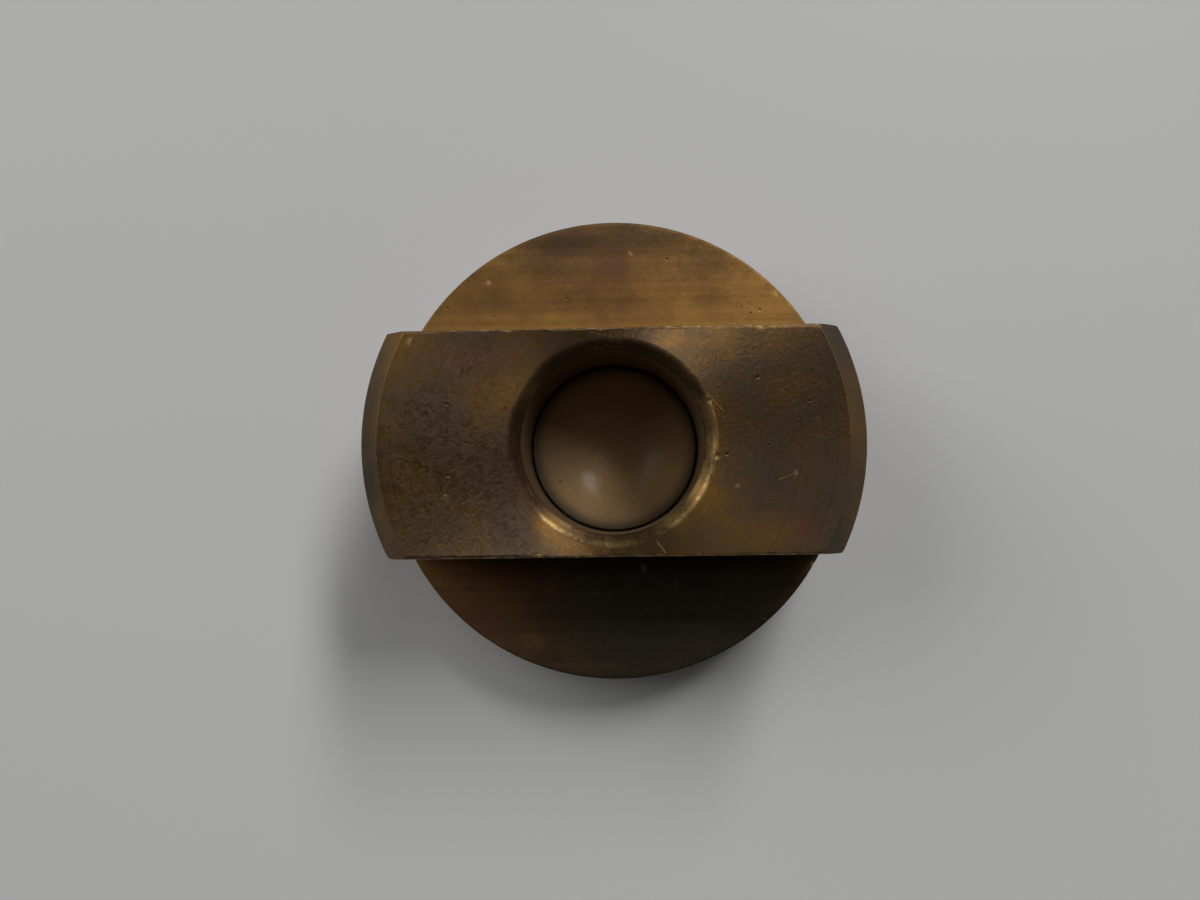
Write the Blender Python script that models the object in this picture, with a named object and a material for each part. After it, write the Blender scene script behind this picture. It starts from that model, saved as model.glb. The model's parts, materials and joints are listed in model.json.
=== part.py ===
"""A clamp-down pipe cap in bronze, in metres, standing on its rim with +Z up its turned axis.

The cap sits over the end of a pipe, on a flat gasket that snaps into the underside. A yoke straddles the
tongue across the top, and the ball point of the yoke's screw presses on a dished thrust pad at the bottom of
the blind bore. The pad turns with the screw. A wire ring lying half in the pad and half in the bore wall
keeps the pad in. X runs along the tongue, and the origin is on the axis, level with the rim.
"""

import math

import bmesh
import bpy

# Turned blank and tongue
BODY_DIAMETER = 0.0381
BASE_THICKNESS = 0.0075
TONGUE_HEIGHT = 0.0107
END_CHAMFER = 0.0014
FOOT_CHAMFER = 0.0005
STEP_CORNER_RADIUS = 0.0004

# Blind bore, and the wall left between its mouth and each flat of the tongue
BORE_DIAMETER = 0.0138
COUNTERSINK = 0.0007
TONGUE_WALL = 0.00095

# Underside: socket over the pipe end, and the gasket that snaps in behind its lip
PIPE_DIAMETER = 0.02667
PIPE_CLEARANCE = 0.0003
SOCKET_LIP = 0.001
SOCKET_CHAMFER = 0.0004
GASKET_THICKNESS = 0.0015
GASKET_OVERLAP = 0.00025
GASKET_BORE = 0.0206
GASKET_CHAMFER = 0.0003
FLOOR_THICKNESS = 0.0012

# Thrust pad and its wire ring
PAD_CENTRE_THICKNESS = 0.0013
PAD_RIM = 0.0002
PAD_CHAMFER = 0.0003
DISH_RADIUS = 0.0105
RING_WIRE = 0.0008
RING_HEIGHT = 0.0016
RING_OPENING = math.radians(18)

# Clearances between pieces
SEAT_GAP = 0.0003
SNAP_GAP = 0.0001
PAD_CLEARANCE = 0.00015
RING_CLEARANCE = 0.0002

# Facets
TURNED_SIDES = 96
GROOVE_STEPS = 6
DISH_STEPS = 12
CORNER_STEPS = 4
WIRE_SIDES = 10
RING_STEPS = 72
CUT_MARGIN = 0.002
WELD = 1e-6
SHARP_ANGLE = math.radians(30)

# Heights above the rim, and radii, that follow from the sizes above
TOTAL_HEIGHT = BASE_THICKNESS + TONGUE_HEIGHT
BODY_RADIUS = BODY_DIAMETER / 2
BORE_RADIUS = BORE_DIAMETER / 2
MOUTH_RADIUS = BORE_RADIUS + COUNTERSINK
TONGUE_HALF_WIDTH = MOUTH_RADIUS + TONGUE_WALL
SOCKET_RADIUS = PIPE_DIAMETER / 2 + PIPE_CLEARANCE
GASKET_RADIUS = SOCKET_RADIUS + GASKET_OVERLAP
GASKET_BASE = SOCKET_LIP + SNAP_GAP
SOCKET_ROOF = GASKET_BASE + GASKET_THICKNESS + SEAT_GAP
POCKET_FLOOR = SOCKET_ROOF + FLOOR_THICKNESS
PAD_BASE = POCKET_FLOOR + SEAT_GAP
PAD_RADIUS = BORE_RADIUS - PAD_CLEARANCE
DISH_EDGE = PAD_RADIUS - PAD_RIM
DISH_BOTTOM = PAD_BASE + PAD_CENTRE_THICKNESS
DISH_CENTRE = DISH_BOTTOM + DISH_RADIUS
PAD_RIM_HEIGHT = DISH_CENTRE - math.sqrt(DISH_RADIUS**2 - DISH_EDGE**2)
RING_LEVEL = PAD_BASE + RING_HEIGHT
GROOVE_RADIUS = RING_WIRE / 2 + RING_CLEARANCE


def clear_scene():
    for obj in list(bpy.data.objects):
        bpy.data.objects.remove(obj)


def material(name, colour, roughness, metallic):
    made = bpy.data.materials.new(name)
    made.use_nodes = True
    shader = made.node_tree.nodes["Principled BSDF"]
    shader.inputs["Base Color"].default_value = (*colour, 1)
    shader.inputs["Roughness"].default_value = roughness
    shader.inputs["Metallic"].default_value = metallic
    return made


def add_object(name, mesh, finish=None):
    obj = bpy.data.objects.new(name, mesh)
    bpy.context.scene.collection.objects.link(obj)
    if finish:
        mesh.materials.append(finish)
    return obj


def mesh_from(name, bm):
    """Closes a bmesh's seams, turns its faces outwards and hands it over as a mesh."""
    bmesh.ops.remove_doubles(bm, verts=bm.verts, dist=WELD)
    bmesh.ops.recalc_face_normals(bm, faces=bm.faces)
    mesh = bpy.data.meshes.new(name)
    bm.to_mesh(mesh)
    bm.free()
    return mesh


def shade_round(mesh):
    mesh.shade_smooth()
    mesh.set_sharp_from_angle(angle=SHARP_ANGLE)


def turned(name, outline):
    """Spins a half section, given as (radius, height) points, a full turn about Z."""
    bm = bmesh.new()
    points = [bm.verts.new((radius, 0, height)) for radius, height in outline]
    edges = [bm.edges.new(pair) for pair in zip(points, points[1:])]
    bmesh.ops.spin(
        bm, geom=points + edges, cent=(0, 0, 0), axis=(0, 0, 1), angle=math.tau, steps=TURNED_SIDES
    )
    return mesh_from(name, bm)


def arc(centre, radius, start, end, steps):
    """Points (radius, height) along an arc, with angles in degrees from the outward direction."""
    points = []
    for i in range(steps + 1):
        angle = math.radians(start + (end - start) * i / steps)
        points.append((centre[0] + radius * math.cos(angle), centre[1] + radius * math.sin(angle)))
    return points


def wire_groove(wall_radius, outward):
    """The part of the wire's groove that lies in one wall, from low to high."""
    offset = wall_radius - BORE_RADIUS
    reach = math.degrees(math.acos(offset / GROOVE_RADIUS))
    centre = (BORE_RADIUS, RING_LEVEL)
    if outward:
        return arc(centre, GROOVE_RADIUS, -reach, reach, GROOVE_STEPS)
    return arc(centre, GROOVE_RADIUS, -reach, reach - 360, GROOVE_STEPS)


def body_outline():
    """Half section of the blank: pocket floor, bore, top, outer side, rim and socket, back to the axis."""
    bore = [(0, POCKET_FLOOR), (BORE_RADIUS, POCKET_FLOOR)]
    bore += wire_groove(BORE_RADIUS, outward=True)
    bore += [(BORE_RADIUS, TOTAL_HEIGHT - COUNTERSINK), (MOUTH_RADIUS, TOTAL_HEIGHT)]
    outside = [
        (BODY_RADIUS - END_CHAMFER, TOTAL_HEIGHT),
        (BODY_RADIUS, TOTAL_HEIGHT - END_CHAMFER),
        (BODY_RADIUS, FOOT_CHAMFER),
        (BODY_RADIUS - FOOT_CHAMFER, 0),
    ]
    socket = [
        (SOCKET_RADIUS + SOCKET_CHAMFER, 0),
        (SOCKET_RADIUS, SOCKET_CHAMFER),
        (SOCKET_RADIUS, SOCKET_LIP),
        (GASKET_RADIUS + SEAT_GAP, SOCKET_LIP),
        (GASKET_RADIUS + SEAT_GAP, SOCKET_ROOF),
        (0, SOCKET_ROOF),
    ]
    return bore + outside + socket


def step_cutter(side):
    """Bar that mills one side of the blank down to the step; side is +1 or -1 in Y."""
    far = BODY_RADIUS + CUT_MARGIN
    above = TOTAL_HEIGHT + CUT_MARGIN
    corner = (TONGUE_HALF_WIDTH + STEP_CORNER_RADIUS, BASE_THICKNESS + STEP_CORNER_RADIUS)
    section = arc(corner, STEP_CORNER_RADIUS, 180, 270, CORNER_STEPS)
    section += [(far, BASE_THICKNESS), (far, above), (TONGUE_HALF_WIDTH, above)]
    bm = bmesh.new()
    face = bm.faces.new([bm.verts.new((-far, side * across, up)) for across, up in section])
    swept = bmesh.ops.extrude_face_region(bm, geom=[face])["geom"]
    moved = [part for part in swept if isinstance(part, bmesh.types.BMVert)]
    bmesh.ops.translate(bm, verts=moved, vec=(2 * far, 0, 0))
    return add_object("step_cutter", mesh_from("step_cutter", bm))


def cut(obj, cutters):
    """Takes the cutters out of an object for good, and removes them."""
    for cutter in cutters:
        modifier = obj.modifiers.new(cutter.name, "BOOLEAN")
        modifier.operation = "DIFFERENCE"
        modifier.object = cutter
    evaluated = obj.evaluated_get(bpy.context.evaluated_depsgraph_get())
    finished = bpy.data.meshes.new_from_object(evaluated)
    obj.modifiers.clear()
    obj.data = finished
    for cutter in cutters:
        bpy.data.objects.remove(cutter)


def cap_body():
    finish = material("patinated_bronze", (0.21, 0.155, 0.095), 0.42, 1)
    obj = add_object("cap_body", turned("cap_body", body_outline()), finish)
    cut(obj, [step_cutter(1), step_cutter(-1)])
    shade_round(obj.data)
    return obj


def thrust_pad():
    """Half section: base, wall with its share of the ring groove, rim, then the dish back to the axis."""
    outline = [(0, PAD_BASE), (PAD_RADIUS - PAD_CHAMFER, PAD_BASE), (PAD_RADIUS, PAD_BASE + PAD_CHAMFER)]
    outline += wire_groove(PAD_RADIUS, outward=False)
    outline += [(PAD_RADIUS, PAD_RIM_HEIGHT)]
    edge = math.degrees(math.asin(DISH_EDGE / DISH_RADIUS)) - 90
    outline += arc((0, DISH_CENTRE), DISH_RADIUS, edge, -90, DISH_STEPS)
    outline[-1] = (0, DISH_BOTTOM)
    finish = material("burnished_bronze", (0.25, 0.2, 0.14), 0.3, 1)
    obj = add_object("thrust_pad", turned("thrust_pad", outline), finish)
    shade_round(obj.data)
    return obj


def pad_retaining_ring():
    """Round wire bent to the bore's radius, with an opening so that it can be squeezed in."""
    bm = bmesh.new()
    sweep = math.tau - RING_OPENING
    loops = []
    for i in range(RING_STEPS + 1):
        turn = RING_OPENING / 2 + sweep * i / RING_STEPS
        section = arc((BORE_RADIUS, RING_LEVEL), RING_WIRE / 2, 0, 360, WIRE_SIDES)[:-1]
        loops.append(
            [bm.verts.new((r * math.cos(turn), r * math.sin(turn), height)) for r, height in section]
        )
    for loop, following in zip(loops, loops[1:]):
        for j in range(WIRE_SIDES):
            k = (j + 1) % WIRE_SIDES
            bm.faces.new((loop[j], loop[k], following[k], following[j]))
    bm.faces.new(loops[0])
    bm.faces.new(loops[-1])
    mesh = mesh_from("pad_retaining_ring", bm)
    shade_round(mesh)
    return add_object("pad_retaining_ring", mesh, material("spring_wire", (0.09, 0.085, 0.08), 0.4, 1))


def sealing_gasket():
    top = GASKET_BASE + GASKET_THICKNESS
    inner = GASKET_BORE / 2
    outline = [
        (inner, GASKET_BASE + GASKET_CHAMFER),
        (inner, top - GASKET_CHAMFER),
        (inner + GASKET_CHAMFER, top),
        (GASKET_RADIUS - GASKET_CHAMFER, top),
        (GASKET_RADIUS, top - GASKET_CHAMFER),
        (GASKET_RADIUS, GASKET_BASE + GASKET_CHAMFER),
        (GASKET_RADIUS - GASKET_CHAMFER, GASKET_BASE),
        (inner + GASKET_CHAMFER, GASKET_BASE),
    ]
    mesh = turned("sealing_gasket", outline + outline[:1])
    shade_round(mesh)
    return add_object("sealing_gasket", mesh, material("black_rubber", (0.03, 0.03, 0.03), 0.75, 0))


def main():
    clear_scene()
    pad_axis = bpy.data.objects.new("pad_swivel_axis", None)
    bpy.context.scene.collection.objects.link(pad_axis)
    cap_body()
    pad_retaining_ring()
    sealing_gasket()
    thrust_pad().parent = pad_axis


main()
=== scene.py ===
import json
import math
import bmesh
import bpy
import numpy as np
from mathutils import Matrix, Vector


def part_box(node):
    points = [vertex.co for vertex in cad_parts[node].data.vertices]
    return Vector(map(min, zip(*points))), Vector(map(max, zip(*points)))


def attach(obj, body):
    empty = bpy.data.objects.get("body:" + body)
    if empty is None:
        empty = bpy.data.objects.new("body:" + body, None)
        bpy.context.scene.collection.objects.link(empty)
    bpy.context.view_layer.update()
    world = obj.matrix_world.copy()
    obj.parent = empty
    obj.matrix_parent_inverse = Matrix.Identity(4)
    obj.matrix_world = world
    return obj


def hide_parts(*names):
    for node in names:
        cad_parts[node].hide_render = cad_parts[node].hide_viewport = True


# A bronze pipe cap: one turned and milled body, a dished pad that turns in its bore, the pad's wire ring,
# and the gasket underneath. X runs along the tongue and Z up the turned axis, in metres.
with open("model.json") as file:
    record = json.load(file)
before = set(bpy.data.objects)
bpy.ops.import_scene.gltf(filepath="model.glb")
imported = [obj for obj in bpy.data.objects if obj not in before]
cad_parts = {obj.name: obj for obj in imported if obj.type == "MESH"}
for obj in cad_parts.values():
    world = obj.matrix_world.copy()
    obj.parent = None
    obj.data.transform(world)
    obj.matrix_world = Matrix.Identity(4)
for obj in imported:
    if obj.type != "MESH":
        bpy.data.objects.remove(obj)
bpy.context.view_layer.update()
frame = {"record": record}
mm = 0.001
turn = 2 * math.pi

# places and main sizes, read from the frame
capLow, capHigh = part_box("cap_body")
padLow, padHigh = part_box("thrust_pad")
gasketLow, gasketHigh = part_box("sealing_gasket")
ringLow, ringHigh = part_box("pad_retaining_ring")
mountAt = {mount["name"]: mount["pos_m"] for mount in frame["record"]["mounts"]}

# what the frame doesn't say about the body
cap = {
    "edge": 0.12 * mm,          # radius worn on every outer edge
    "endChamfer": 1.4 * mm,
    "footChamfer": 0.5 * mm,
    "fillet": 0.4 * mm,         # left by the cutter where the tongue meets the step
    "countersink": 0.7 * mm,
    "mouthRound": 0.55 * mm,    # radius worn on the bore's mouth
    "roundSteps": 8,
    "padClearance": 0.15 * mm,
    "seatGap": 0.3 * mm,
    "snapGap": 0.1 * mm,
    "gasketOverlap": 0.25 * mm,
    "socketChamfer": 0.4 * mm,
    "grooveRadius": 0.6 * mm,
    "grooveRound": 0.9,         # radius of the groove's corners as a share of its depth
    "pocketRound": 0.2 * mm,    # radii left by the tool in the corners inside
    "lipRound": 0.1 * mm,
    "roofRound": 0.2 * mm,
    "softEdge": 0.09 * mm,      # how much further off the upper turned edges count as
    "cornerAbove": 0.2 * mm,    # the tongue's upright corners count as edges from here above the step
    "alongFlat": 122,           # grid columns and rows
    "alongEnd": 64,
    "acrossEdge": 4,
    "acrossTop": 58,
    "downChamfer": 8,
    "downSide": 24,
    "downFillet": 5,
    "acrossStep": 40,
    "lipStretch": 0.2 * mm,     # longest stretch down the mouth, the bore and the underside
    "boreStretch": 1.1 * mm,
    "lowStretch": 1.6 * mm,
}
cap["radius"] = capHigh.x
cap["top"] = capHigh.z
cap["halfWidth"] = mountAt["tongue_flat_back"][1]
cap["step"] = mountAt["step_back"][2]
cap["bore"] = padHigh.x + cap["padClearance"]
cap["mouth"] = cap["bore"] + cap["countersink"]
cap["pocket"] = padLow.z - cap["seatGap"]
cap["gasket"] = gasketHigh.x
cap["socket"] = gasketHigh.x - cap["gasketOverlap"]
cap["lip"] = gasketLow.z - cap["snapGap"]
cap["roof"] = gasketHigh.z + cap["seatGap"]
cap["groove"] = (ringLow.z + ringHigh.z) / 2


def spread(start, end, steps):
    return np.linspace(start, end, steps + 1)


# A polyline of (radius, height, corner radius) points with each corner turned into an arc. The arc touches
# both sides at distance r * tan(half the turning angle) from the corner.
def roundedProfile(corners, steps=4):
    points = []
    for i, (x, z, radius) in enumerate(corners):
        here = np.array((x, z))
        if radius == 0 or i in (0, len(corners) - 1):
            points.append(here[None])
            continue
        before = np.array(corners[i - 1][:2]) - here
        after = np.array(corners[i + 1][:2]) - here
        before, after = before / np.linalg.norm(before), after / np.linalg.norm(after)
        half = np.arccos(np.clip(before @ after, -1, 1)) / 2
        centre = here + (before + after) / np.linalg.norm(before + after) * radius / np.sin(half)
        start, end = here + before * radius / np.tan(half), here + after * radius / np.tan(half)
        blend = spread(0, 1, steps)[:, None]
        way = (1 - blend) * (start - centre) + blend * (end - centre)
        points.append(centre + radius * way / np.linalg.norm(way, axis=1, keepdims=True))
    return np.concatenate(points)


# The same polyline with extra points, so that no stretch is longer than a given length.
def filledProfile(profile, longest):
    gaps = np.linalg.norm(np.diff(profile, axis=0), axis=1)
    counts = np.maximum(1, np.ceil(gaps / longest)).astype(int)
    start = np.repeat(profile[:-1], counts, axis=0)
    step = np.repeat(np.diff(profile, axis=0) / counts[:, None], counts, axis=0)
    index = np.arange(counts.sum()) - np.repeat(np.cumsum(counts) - counts, counts)
    return np.concatenate([start + step * index[:, None], profile[-1:]])


# Grid (profile point, angle): x = r cos a, y = r sin a, z = height.
def revolve(profile, angles):
    radius, height = profile[:, :1], profile[:, 1:]
    return np.stack(
        [radius * np.cos(angles), radius * np.sin(angles), height + 0 * angles], axis=-1
    )


# Corner numbers of the quads of a rows by columns grid, joined round when closed.
def gridQuads(rows, columns, closed):
    across = columns if closed else columns - 1
    row, column = np.meshgrid(np.arange(rows - 1), np.arange(across), indexing="ij")
    following = (column + 1) % columns
    quads = [row * columns + column, row * columns + following]
    quads += [(row + 1) * columns + following, (row + 1) * columns + column]
    return np.stack(quads, axis=-1).reshape(-1, 4)


# Joins grids of points, each (points, closed, material number), into one closed, smooth mesh.
def pieceFromGrids(name, grids, materials):
    points, quads, slots, base = [], [], [], 0
    for grid, closed, slotNumber in grids:
        faces = gridQuads(grid.shape[0], grid.shape[1], closed)
        points.append(grid.reshape(-1, 3))
        quads.append(faces + base)
        slots.append(np.full(len(faces), slotNumber))
        base += len(points[-1])
    points, quads, slots = map(np.concatenate, (points, quads, slots))
    mesh = bpy.data.meshes.new(name)
    mesh.vertices.add(len(points))
    mesh.vertices.foreach_set("co", points.astype(np.float32).ravel())
    mesh.loops.add(quads.size)
    mesh.loops.foreach_set("vertex_index", quads.astype(np.int32).ravel())
    mesh.polygons.add(len(quads))
    mesh.polygons.foreach_set("loop_start", np.arange(0, quads.size, 4, dtype=np.int32))
    mesh.polygons.foreach_set("material_index", slots.astype(np.int32))
    mesh.update(calc_edges=True)
    bm = bmesh.new()
    bm.from_mesh(mesh)
    bmesh.ops.remove_doubles(bm, verts=bm.verts, dist=1e-7)
    bmesh.ops.recalc_face_normals(bm, faces=bm.faces)
    bm.to_mesh(mesh)
    bm.free()
    mesh.shade_smooth()
    for finish in materials:
        mesh.materials.append(finish)
    piece = bpy.data.objects.new(name, mesh)
    bpy.context.scene.collection.objects.link(piece)
    return piece


def meshPoints(piece):
    points = np.empty(len(piece.data.vertices) * 3, np.float32)
    piece.data.vertices.foreach_get("co", points)
    return points.reshape(-1, 3).astype(float)


def setPoints(piece, points):
    piece.data.vertices.foreach_set("co", points.astype(np.float32).ravel())
    piece.data.update()


# Stores one number for each vertex, for the materials to read.
def addField(piece, name, values):
    layer = piece.data.attributes.new(name, "FLOAT", "POINT")
    layer.data.foreach_set("value", values.astype(np.float32))


def unit(vectors):
    return vectors / np.linalg.norm(vectors, axis=-1, keepdims=True)


# One loop per row round the tongue. The inner outline is two arcs of innerRadius cut off at +-innerWidth.
# Each point is an inner point plus the edge radius times its normal, and in a corner the normal goes from
# the end's to the flat's.
def tongueLoops(innerRadius, innerWidth, endLevel, flatLevel, endTilt, flatTilt):
    rows = [np.asarray(value, float)[:, None] for value in
            (innerRadius, innerWidth, endLevel, flatLevel, endTilt, flatTilt)]
    innerRadius, innerWidth, endLevel, flatLevel, endTilt, flatTilt = rows
    corner = np.arcsin(innerWidth / innerRadius)
    cornerX = innerRadius * np.cos(corner)
    along = spread(-1, 1, cap["alongEnd"])
    share = spread(0, 1, cap["acrossEdge"])[1:-1]
    across = spread(1, -1, cap["alongFlat"])
    zero = 0 * innerRadius

    def column(angle, x, y, flatShare):
        # points for a run of columns, from the inner point and how far its normal has gone over
        endNormal = np.stack([np.cos(endTilt) * np.cos(angle), np.cos(endTilt) * np.sin(angle),
                              np.sin(endTilt) + 0 * angle], axis=-1)
        side = np.stack([zero + 0 * angle, np.cos(flatTilt) + 0 * angle, np.sin(flatTilt) + 0 * angle],
                        axis=-1)
        weight = (zero + flatShare)[..., None]
        normal = unit((1 - weight) * endNormal + weight * side)
        level = (1 - flatShare) * endLevel + flatShare * flatLevel
        inner = np.stack([x + 0 * angle, y + 0 * angle, level + 0 * angle], axis=-1)
        return inner + cap["edge"] * normal

    endAngle = corner * along
    end = column(endAngle, innerRadius * np.cos(endAngle), innerRadius * np.sin(endAngle), 0 * along)
    cornerPoints = column(corner + 0 * share, cornerX, innerWidth, share)
    flat = column(corner + 0 * across, cornerX * across, innerWidth, 0 * across + 1)
    farCorner = cornerPoints[:, ::-1] * (-1, 1, 1)
    half = np.concatenate([end, cornerPoints, flat, farCorner], axis=1)
    return np.concatenate([half, half * (-1, -1, 1)], axis=1)


# Rows from the top face down over the top edge, the chamfer, its lower edge, the side and the fillet, as
# columns of (inner radius, inner width, end level, flat level, end tilt, flat tilt).
def tongueSide():
    edge, chamfer, fillet = cap["edge"], cap["endChamfer"], cap["fillet"]
    radius, top, width, step = cap["radius"], cap["top"], cap["halfWidth"], cap["step"]
    over = (math.sqrt(2) - 1) * edge  # how far a 45 degree corner's inner point sits back
    quarter, eighth = math.pi / 2, math.pi / 4
    topRadius, lowLevel = radius - chamfer - over, top - chamfer - over
    blend = spread(0, 1, cap["acrossEdge"])
    rows = [np.stack([topRadius + 0 * blend, width - edge + 0 * blend, top - edge + 0 * blend,
                      top - edge + 0 * blend, quarter - eighth * blend, quarter * (1 - blend)], axis=1)]
    blend = spread(0, 1, cap["downChamfer"])[1:]
    down = (1 - blend) * (top - edge) + blend * lowLevel
    rows.append(np.stack([(1 - blend) * topRadius + blend * (radius - edge), width - edge + 0 * blend,
                          down, down, eighth + 0 * blend, 0 * blend], axis=1))
    blend = spread(0, 1, cap["acrossEdge"])[1:]
    rows.append(np.stack([radius - edge + 0 * blend, width - edge + 0 * blend, lowLevel + 0 * blend,
                          lowLevel - edge * blend, eighth * (1 - blend), 0 * blend], axis=1))
    blend = spread(0, 1, cap["downSide"])[1:]
    foot = step + fillet
    rows.append(np.stack([radius - edge + 0 * blend, width - edge + 0 * blend,
                          (1 - blend) * lowLevel + blend * foot,
                          (1 - blend) * (lowLevel - edge) + blend * foot, 0 * blend, 0 * blend], axis=1))
    angle = spread(0, quarter, cap["downFillet"])[1:]
    reach = fillet + edge
    level = foot - reach * np.sin(angle)
    rows.append(np.stack([radius - edge + 0 * angle, width + fillet - reach * np.cos(angle), level, level,
                          0 * angle, angle], axis=1))
    return tongueLoops(*np.concatenate(rows).T)


# Angles of the step's rim from tip to tip on the +Y side.
def stepAngles():
    tip = math.asin((cap["halfWidth"] + cap["fillet"]) / (cap["radius"] - cap["edge"]))
    return math.pi / 2 - spread(1, -1, cap["alongFlat"]) * (math.pi / 2 - tip), tip


# Half moon on the +Y side: straight lines from the foot of the fillet out to the rim's edge.
def stepFloor():
    angles, tip = stepAngles()
    inner = cap["radius"] - cap["edge"]
    start = np.stack([inner * math.cos(tip) * spread(1, -1, cap["alongFlat"]),
                      cap["halfWidth"] + cap["fillet"] + 0 * angles], axis=-1)
    end = inner * np.stack([np.cos(angles), np.sin(angles)], axis=-1)
    blend = spread(0, 1, cap["acrossStep"])[:, None, None]
    flat = (1 - blend) * start + blend * end
    return np.concatenate([flat, np.full(flat.shape[:2] + (1,), cap["step"])], axis=-1)


# The rounded edge between step and side: an inner arc plus the edge radius times a normal that goes from
# straight up to straight out.
def stepRim():
    angles, _ = stepAngles()
    share = spread(1, 0, cap["acrossEdge"])[:, None, None]
    radial = np.stack([np.cos(angles), np.sin(angles), 0 * angles], axis=-1)
    normal = unit((1 - share) * radial + share * np.array((0, 0, 1)))
    inner = radial * (cap["radius"] - cap["edge"]) + np.array((0, 0, cap["step"] - cap["edge"]))
    return inner + cap["edge"] * normal


# Angles all round below the step: each tongue end's from tip to tip, then each step's, so that the columns
# meet those of the grids above.
def lowerAngles():
    angles, tip = stepAngles()
    half = np.concatenate([tip * spread(-1, 1, cap["alongEnd"]), angles[1:-1]])
    return np.concatenate([half, half + math.pi])


# Distance from each point to the nearest outer edge, each the hypotenuse of its distances from the two faces
# that meet there. The upper turned edges count as a little further off, so they look less worn, and an edge
# is put out of reach past its ends.
def edgeDistance(points):
    x, y, z = points.T
    radius, width = np.hypot(x, y), np.abs(y)
    top, step, wide = cap["top"], cap["step"], cap["halfWidth"]
    cornerX = math.sqrt(cap["radius"] ** 2 - wide**2)
    outOfReach = 1
    above = np.where(z > step + cap["cornerAbove"], 0, outOfReach)
    distances = [
        np.hypot(width - wide, z - top),
        np.hypot(radius - cap["radius"] + cap["endChamfer"], z - top) + cap["softEdge"],
        np.hypot(radius - cap["radius"], z - top + cap["endChamfer"]) + cap["softEdge"],
        np.hypot(np.abs(x) - cornerX, width - wide) + above,
        np.hypot(radius - cap["radius"], z - step) + np.where(width > wide, cap["softEdge"], outOfReach),
        np.hypot(radius - cap["mouth"], z - top) + cap["softEdge"],
        np.hypot(radius - cap["radius"], z - cap["footChamfer"]),
        np.hypot(radius - cap["radius"] + cap["footChamfer"], z),
        np.hypot(radius - cap["socket"] - cap["socketChamfer"], z),
    ]
    return np.min(distances, axis=0)


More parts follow.
